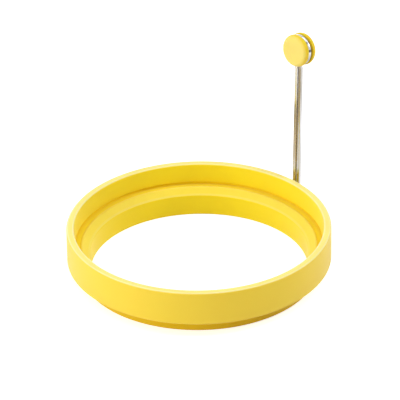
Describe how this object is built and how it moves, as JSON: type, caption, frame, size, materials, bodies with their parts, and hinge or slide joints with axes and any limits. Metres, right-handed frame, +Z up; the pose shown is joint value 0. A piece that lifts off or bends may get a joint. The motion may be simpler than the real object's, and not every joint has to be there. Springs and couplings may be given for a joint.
{
  "type": "egg ring",
  "caption": "Round silicone ring that shapes a frying egg, with a stacking foot, a recess inside its rim, and a bright wire handle that folds outwards and ends in a round knob.",
  "frame": {"origin": "the ring's axis at the underside of its foot", "axes": "+Z up along the ring's axis; the handle's hinge is on the outer wall, on the diagonal between +X and +Y; -Y is the front"},
  "size_m": [0.1, 0.1, 0.079],
  "materials": {
    "ring_silicone": "satin moulded silicone",
    "knob_silicone": "satin moulded silicone",
    "steel_wire": "bright drawn stainless wire"
  },
  "bodies": {
    "ring": {"silicone_ring": "ring_silicone"},
    "handle": {"handle_wire": "steel_wire", "knob_front_cap": "knob_silicone", "knob_rear_cap": "knob_silicone"}
  },
  "joints": [
    {"name": "handle_fold", "type": "hinge", "parent": "ring", "child": "handle", "pos_m": [0.03776, 0.03776, 0.00925], "axis": [-0.7071, 0.7071, 0], "range_deg": [-15.2, 88.4]}
  ]
}
